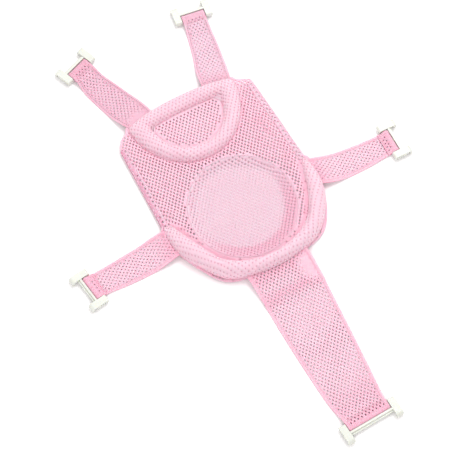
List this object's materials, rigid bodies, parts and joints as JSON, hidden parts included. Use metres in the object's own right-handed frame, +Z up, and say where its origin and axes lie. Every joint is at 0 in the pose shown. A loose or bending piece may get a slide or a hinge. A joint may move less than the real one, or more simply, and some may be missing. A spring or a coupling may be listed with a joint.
{
  "type": "baby bath support net",
  "caption": "Mesh sling seat for bathing a baby: round seat pocket, padded D-shaped headrest, U-shaped bolster and straps ending in moulded clips that hook on a tub rim.",
  "frame": {"origin": "The middle of the footprint of the laid-out net, on the surface it lies on.", "axes": "+Y runs from the seat to the headrest, along the longest extent. +X is to the right seen from above with the headrest up. +Z is up, the shortest extent."},
  "size_m": [0.579, 0.7932, 0.03],
  "materials": {
    "panel_mesh": "open sandwich mesh with staggered oval holes",
    "strap_mesh": "open sandwich mesh, folded double",
    "cover_mesh": "soft sandwich mesh drawn over foam",
    "backing_mesh": "fine knitted mesh",
    "seam_tape": "folded and stitched edge",
    "foam": "open-cell foam",
    "thread": "polyester sewing thread",
    "clip_plastic": "ivory injection-moulded plastic, satin"
  },
  "bodies": {
    "seat": {"seat_panel": "panel_mesh", "seat_pocket": "panel_mesh", "pocket_seam_tape": "seam_tape", "headrest_cover": "cover_mesh", "headrest_foam": "foam", "headrest_backing": "backing_mesh", "headrest_mesh": "panel_mesh", "bolster_cover": "cover_mesh", "bolster_foam": "foam", "bolster_backing": "backing_mesh", "left_side_hem": "seam_tape", "right_side_hem": "seam_tape"},
    "left_strap": {"left_strap": "strap_mesh", "left_strap_stitching": "thread"},
    "left_clip": {"left_clip": "clip_plastic"},
    "right_strap": {"right_strap": "strap_mesh", "right_strap_stitching": "thread"},
    "right_clip": {"right_clip": "clip_plastic"},
    "top_left_strap": {"top_left_strap": "strap_mesh", "top_left_strap_stitching": "thread"},
    "top_left_clip": {"top_left_clip": "clip_plastic"},
    "top_right_strap": {"top_right_strap": "strap_mesh", "top_right_strap_stitching": "thread"},
    "top_right_clip": {"top_right_clip": "clip_plastic"},
    "bottom_strap": {"bottom_strap": "strap_mesh", "bottom_strap_stitching": "thread"},
    "bottom_clip": {"bottom_clip": "clip_plastic"}
  },
  "joints": [
    {"name": "left_strap_lift", "type": "hinge", "parent": "seat", "child": "left_strap", "pos_m": [-0.12233, 0.02026, 0.012], "axis": [0, 1, 0], "range_deg": [0, 80]},
    {"name": "left_clip_swivel", "type": "hinge", "parent": "left_strap", "child": "left_clip", "pos_m": [-0.26357, 0.01414, 0.006], "axis": [-0.1253, 0.9921, 0], "range_deg": [-35, 100]},
    {"name": "right_strap_lift", "type": "hinge", "parent": "seat", "child": "right_strap", "pos_m": [0.13367, 0.02026, 0.012], "axis": [0, -1, 0], "range_deg": [0, 80]},
    {"name": "right_clip_swivel", "type": "hinge", "parent": "right_strap", "child": "right_clip", "pos_m": [0.26687, 0.00925, 0.006], "axis": [-0.0192, -0.9998, 0], "range_deg": [-35, 100]},
    {"name": "top_left_strap_lift", "type": "hinge", "parent": "seat", "child": "top_left_strap", "pos_m": [-0.06308, 0.23256, 0.012], "axis": [0.9793, 0.2023, 0], "range_deg": [0, 80]},
    {"name": "top_left_clip_swivel", "type": "hinge", "parent": "top_left_strap", "child": "top_left_clip", "pos_m": [-0.10614, 0.36505, 0.006], "axis": [0.9385, 0.3453, 0], "range_deg": [-35, 100]},
    {"name": "top_right_strap_lift", "type": "hinge", "parent": "seat", "child": "top_right_strap", "pos_m": [0.07442, 0.23256, 0.012], "axis": [0.9793, -0.2023, 0], "range_deg": [0, 80]},
    {"name": "top_right_clip_swivel", "type": "hinge", "parent": "top_right_strap", "child": "top_right_clip", "pos_m": [0.10219, 0.36171, 0.006], "axis": [0.9893, -0.1461, 0], "range_deg": [-35, 100]},
    {"name": "bottom_strap_lift", "type": "hinge", "parent": "seat", "child": "bottom_strap", "pos_m": [0.00567, -0.09134, 0.012], "axis": [-1, 0, 0], "range_deg": [0, 80]},
    {"name": "bottom_clip_swivel", "type": "hinge", "parent": "bottom_strap", "child": "bottom_clip", "pos_m": [0.00148, -0.37264, 0.006], "axis": [-0.9992, -0.0401, 0], "range_deg": [-35, 100]}
  ]
}
